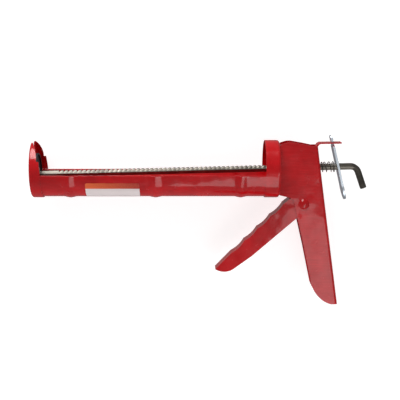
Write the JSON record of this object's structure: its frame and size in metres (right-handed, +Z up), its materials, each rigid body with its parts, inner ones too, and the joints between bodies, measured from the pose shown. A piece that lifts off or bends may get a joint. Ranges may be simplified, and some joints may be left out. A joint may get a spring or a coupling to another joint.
{
  "type": "caulking gun",
  "caption": "Hand-squeezed ratchet caulking gun with an open half-barrel cradle, hooked push rod with plunger, folded sheet handle and trigger, and a release plate.",
  "frame": {"origin": "barrel axis at the inner face of the front cap's plate, where a cartridge's shoulder seats", "axes": "+X along the barrel towards the handle, +Z up as held in use, -Y is the side the label is on"},
  "size_m": [0.3204, 0.0552, 0.1634],
  "materials": {
    "red_enamel": "glossy baked enamel",
    "zinc_plate": "bright zinc plate",
    "rod_steel": "plain drawn steel, lightly oiled",
    "tool_steel": "hardened, dark",
    "spring_steel": "dark oiled wire",
    "label_film": "glossy printed film"
  },
  "bodies": {
    "frame": {"front_cap": "red_enamel", "barrel_trough": "red_enamel", "rear_collar": "red_enamel", "rod_guide_bush": "zinc_plate", "handle_shell": "red_enamel", "trigger_pivot_rivet": "red_enamel", "pivot_spacer": "zinc_plate", "trigger_return_spring": "spring_steel", "brake_spring": "spring_steel", "barrel_label": "label_film"},
    "plunger": {"plunger_disc": "zinc_plate"},
    "rod": {"push_rod": "rod_steel", "plunger_front_washer": "zinc_plate", "plunger_rear_washer": "zinc_plate", "plunger_nut": "zinc_plate"},
    "trigger": {"trigger_lever": "red_enamel", "pawl_pin": "zinc_plate", "pawl_spring": "spring_steel"},
    "pawl": {"drive_pawl": "tool_steel"},
    "brake": {"brake_plate": "zinc_plate"}
  },
  "joints": [
    {"name": "rod_slide", "type": "slide", "parent": "frame", "child": "plunger", "axis": [0.9997, 0, 0.025], "range_m": [0, 0.205]},
    {"name": "rod_turn", "type": "hinge", "parent": "plunger", "child": "rod", "pos_m": [0, 0, -0.00524], "axis": [0.9997, 0, 0.025], "continuous": true},
    {"name": "trigger_pull", "type": "hinge", "parent": "frame", "child": "trigger", "pos_m": [0.2583, 0, -0.0328], "axis": [0, -1, 0], "range_deg": [0, 50], "stiffness_Nm_per_rad": 0.4, "springref_deg": -28.65, "deforming": ["trigger_return_spring"]},
    {"name": "pawl_tilt", "type": "hinge", "parent": "trigger", "child": "pawl", "pos_m": [0.2663, 0, -0.0128], "axis": [0, -1, 0], "range_deg": [0, 14], "stiffness_Nm_per_rad": 0.02, "springref_deg": -34.38},
    {"name": "brake_tilt", "type": "hinge", "parent": "frame", "child": "brake", "pos_m": [0.2854, 0, 0.0251], "axis": [0, 1, 0], "range_deg": [0, 11], "stiffness_Nm_per_rad": 0.3, "springref_deg": -22.92, "deforming": ["brake_spring"]}
  ]
}
